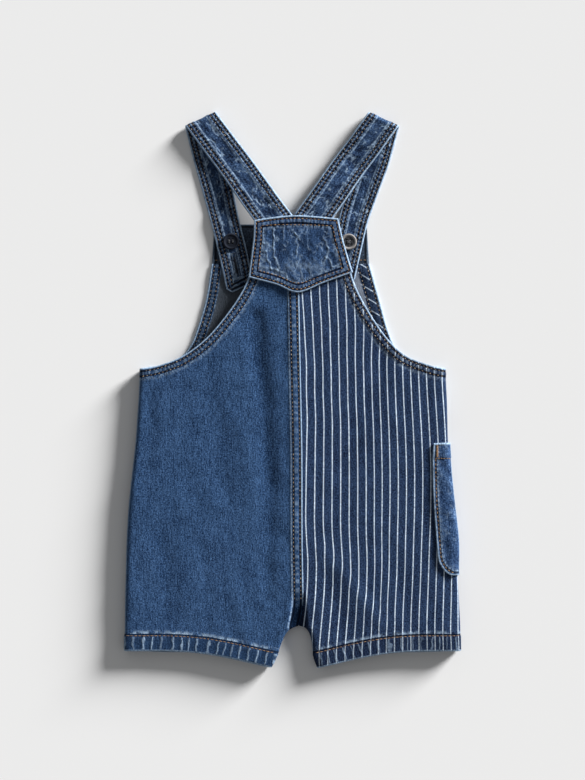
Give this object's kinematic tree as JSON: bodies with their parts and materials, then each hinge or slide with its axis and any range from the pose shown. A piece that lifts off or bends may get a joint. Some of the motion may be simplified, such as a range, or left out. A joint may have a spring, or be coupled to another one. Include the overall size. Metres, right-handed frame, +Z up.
{
  "type": "child's denim shortalls laid flat on their front",
  "caption": "Short-legged denim bib overalls laid flat, back up, with shoulder straps buttoned inside the bib, a shield back patch, a side pocket and a pinstriped half.",
  "frame": {"origin": "on the surface the garment lies on, under the middle of its outline", "axes": "+X across the garment to the side with the pocket, +Y from the leg hems to the shoulder folds, +Z up out of the back panels"},
  "size_m": [0.2635, 0.4341, 0.013],
  "materials": {
    "plain_denim": "washed mid-blue twill with pale worn edges",
    "pinstripe_denim": "dark indigo twill with thin pale pinstripes along the cloth",
    "plain_denim_inside": "pale grey wrong side of the plain denim",
    "pinstripe_denim_inside": "pale grey wrong side of the striped denim",
    "bib_inside": "dark navy twill",
    "patch_denim": "washed blue twill with whitish creases and double rows of topstitching",
    "strap_denim": "washed blue twill with worn seam ridges",
    "navy_button": "satin navy",
    "grey_button": "satin grey-beige rim with a dark middle",
    "pocket_denim": "lighter washed blue twill",
    "tan_thread": "dull tan topstitching thread",
    "dark_thread": "near-black thread in the button holes"
  },
  "bodies": {
    "root": {"back_left": "plain_denim", "back_right": "pinstripe_denim", "front_left": "plain_denim_inside", "front_right": "pinstripe_denim_inside", "bib": "bib_inside", "back_patch": "patch_denim", "strap_left": "strap_denim", "strap_right": "strap_denim", "button_left": "navy_button", "button_right": "grey_button", "side_pocket": "pocket_denim"}
  },
  "joints": []
}
